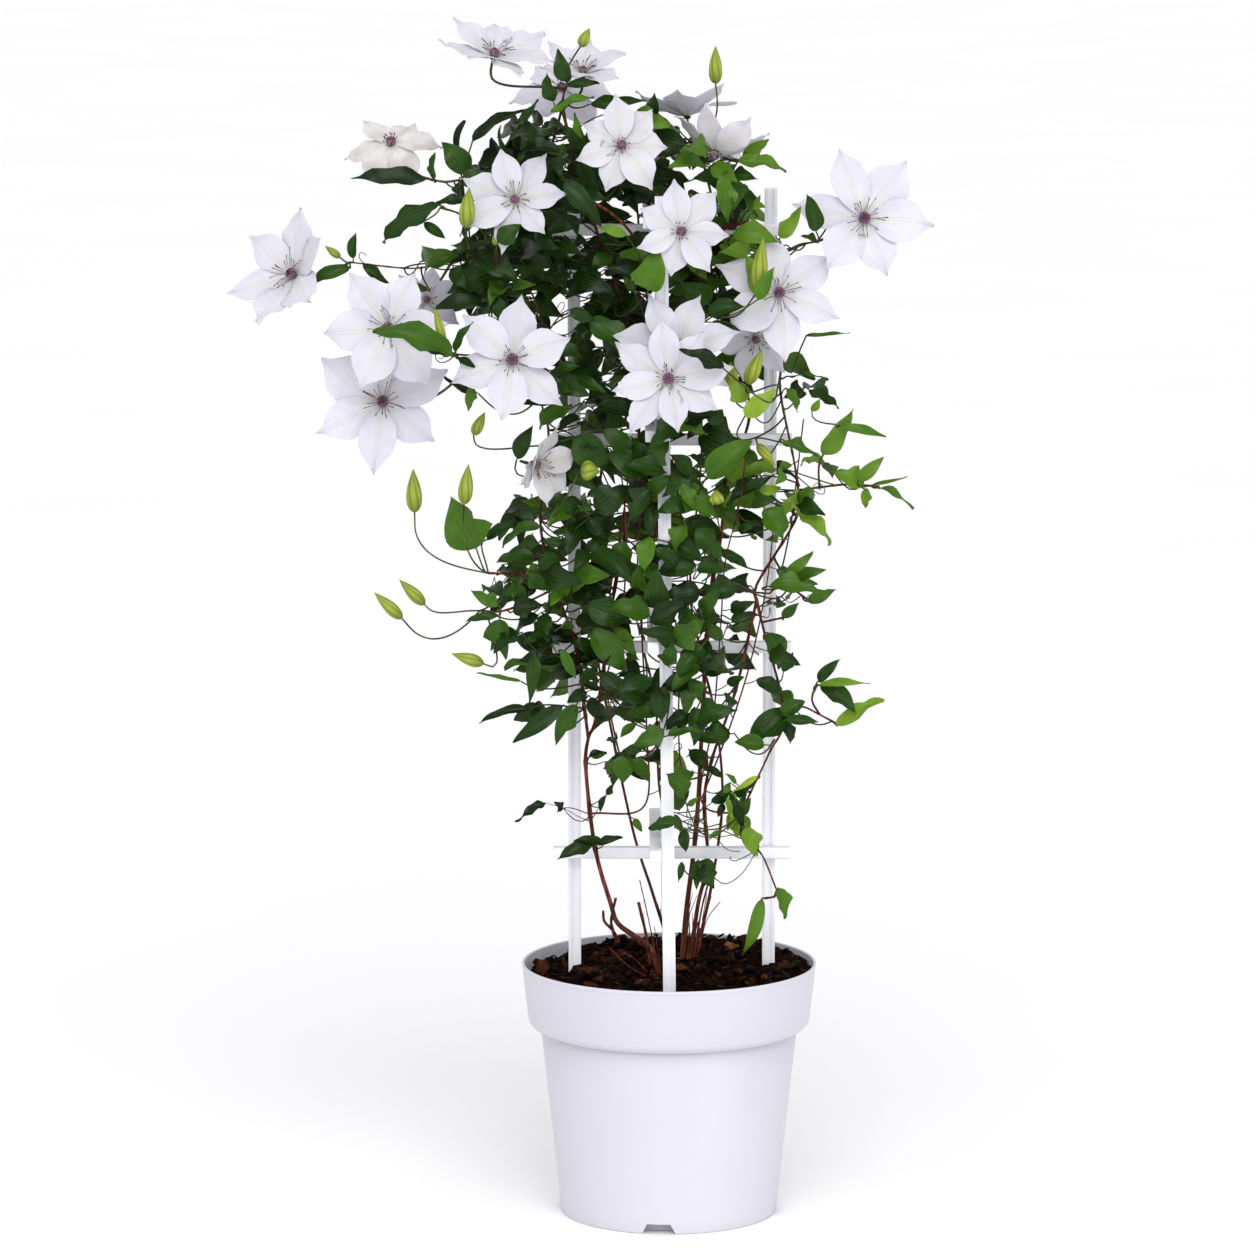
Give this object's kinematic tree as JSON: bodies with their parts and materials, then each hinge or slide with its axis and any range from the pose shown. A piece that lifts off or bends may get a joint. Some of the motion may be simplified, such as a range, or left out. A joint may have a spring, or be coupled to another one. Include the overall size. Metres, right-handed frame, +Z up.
{
  "type": "potted climbing clematis on a trellis",
  "caption": "White large-flowered clematis climbing crossed ladder trellises in a round nursery pot with a deep rim collar.",
  "frame": {"origin": "middle of the pot's flat base, on the ground", "axes": "+Z up; -Y towards the side that the blooms face; +X to the right of a viewer on that side"},
  "size_m": [0.6062, 0.3149, 1.0606],
  "materials": {
    "pot": "smooth satin plastic, very pale lavender white",
    "soil": null,
    "trellis": "matt pale lavender white",
    "vine": "green leaves and buds on red-brown canes; leather stands for fresh plant tissue",
    "sepal": "soft white with a faint lavender tint",
    "stamen": "mauve-purple anthers on pale filaments"
  },
  "bodies": {
    "root": {"pot": "pot", "soil": "soil", "post_left": "trellis", "post_right": "trellis", "post_front": "trellis", "post_back": "trellis", "bar_wide_1": "trellis", "bar_wide_2": "trellis", "bar_wide_3": "trellis", "bar_wide_4": "trellis", "bar_deep_1": "trellis", "bar_deep_2": "trellis", "bar_deep_3": "trellis", "bar_deep_4": "trellis", "sepals_01": "sepal", "sepals_02": "sepal", "sepals_03": "sepal", "sepals_04": "sepal", "sepals_05": "sepal", "sepals_06": "sepal", "sepals_07": "sepal", "sepals_08": "sepal", "sepals_09": "sepal", "sepals_10": "sepal", "sepals_11": "sepal", "sepals_12": "sepal", "sepals_13": "sepal", "sepals_14": "sepal", "sepals_15": "sepal", "sepals_16": "sepal", "sepals_17": "sepal", "sepals_18": "sepal", "sepals_19": "sepal", "sepals_20": "sepal", "stamens_01": "stamen", "stamens_02": "stamen", "stamens_03": "stamen", "stamens_04": "stamen", "stamens_05": "stamen", "stamens_06": "stamen", "stamens_07": "stamen", "stamens_08": "stamen", "stamens_09": "stamen", "stamens_10": "stamen", "stamens_11": "stamen", "stamens_12": "stamen", "stamens_13": "stamen", "stamens_14": "stamen", "stamens_15": "stamen", "stamens_16": "stamen", "stamens_17": "stamen", "stamens_18": "stamen", "stamens_19": "stamen", "stamens_20": "stamen", "vine_left": "vine", "vine_thin": "vine", "vine_centre": "vine", "vine_right": "vine", "vine_back_left": "vine", "vine_back_right": "vine"}
  },
  "joints": []
}
